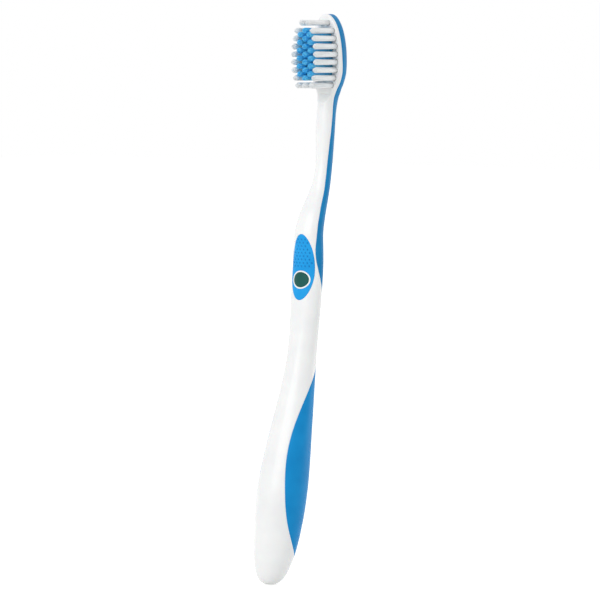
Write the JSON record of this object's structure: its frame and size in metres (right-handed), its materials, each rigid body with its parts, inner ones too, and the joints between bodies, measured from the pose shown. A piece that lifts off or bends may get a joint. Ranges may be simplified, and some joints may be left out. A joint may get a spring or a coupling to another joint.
{
  "type": "manual toothbrush",
  "caption": "Curved manual toothbrush with a white plastic handle, soft rubber grip, thumb pad and back strip, and a flat-trimmed head of white and blue bristle tufts.",
  "frame": {"origin": "middle of the lower grip, where the hand holds the brush", "axes": "+Z along the head, from the handle's end to the toe; the bristles point towards -Y; X across the head"},
  "size_m": [0.0172, 0.0375, 0.1862],
  "materials": {
    "handle_plastic": "glossy moulded white polypropylene",
    "grip_rubber": "satin blue thermoplastic rubber",
    "strip_rubber": "satin blue thermoplastic rubber",
    "pad_rubber": "satin light blue thermoplastic rubber with fine raised dots",
    "inlay_rubber": "satin dark green thermoplastic rubber",
    "white_nylon": "fine white nylon filaments",
    "blue_nylon": "fine blue nylon filaments",
    "anchor_metal": "stamped nickel silver strip"
  },
  "bodies": {
    "root": {"handle": "handle_plastic", "lower_grip": "grip_rubber", "back_strip": "strip_rubber", "thumb_pad": "pad_rubber", "thumb_inlay": "inlay_rubber", "tuft_anchors": "anchor_metal", "tuft_left_1": "white_nylon", "tuft_left_2": "white_nylon", "tuft_left_3": "white_nylon", "tuft_left_4": "white_nylon", "tuft_left_5": "white_nylon", "tuft_left_6": "white_nylon", "tuft_left_7": "white_nylon", "tuft_right_1": "white_nylon", "tuft_right_2": "white_nylon", "tuft_right_3": "white_nylon", "tuft_right_4": "white_nylon", "tuft_right_5": "white_nylon", "tuft_right_6": "white_nylon", "tuft_right_7": "white_nylon", "tuft_toe_1": "white_nylon", "tuft_toe_2": "white_nylon", "tuft_heel_1": "white_nylon", "tuft_heel_2": "white_nylon", "tuft_heel_3": "white_nylon", "tuft_middle_1": "blue_nylon", "tuft_middle_2": "blue_nylon", "tuft_middle_3": "blue_nylon", "tuft_middle_4": "blue_nylon", "tuft_middle_5": "blue_nylon", "tuft_middle_6": "blue_nylon", "tuft_middle_7": "blue_nylon", "tuft_inner_left_1": "blue_nylon", "tuft_inner_left_2": "blue_nylon", "tuft_inner_left_3": "blue_nylon", "tuft_inner_left_4": "blue_nylon", "tuft_inner_left_5": "blue_nylon", "tuft_inner_left_6": "blue_nylon", "tuft_inner_right_1": "blue_nylon", "tuft_inner_right_2": "blue_nylon", "tuft_inner_right_3": "blue_nylon", "tuft_inner_right_4": "blue_nylon", "tuft_inner_right_5": "blue_nylon", "tuft_inner_right_6": "blue_nylon"}
  },
  "joints": []
}
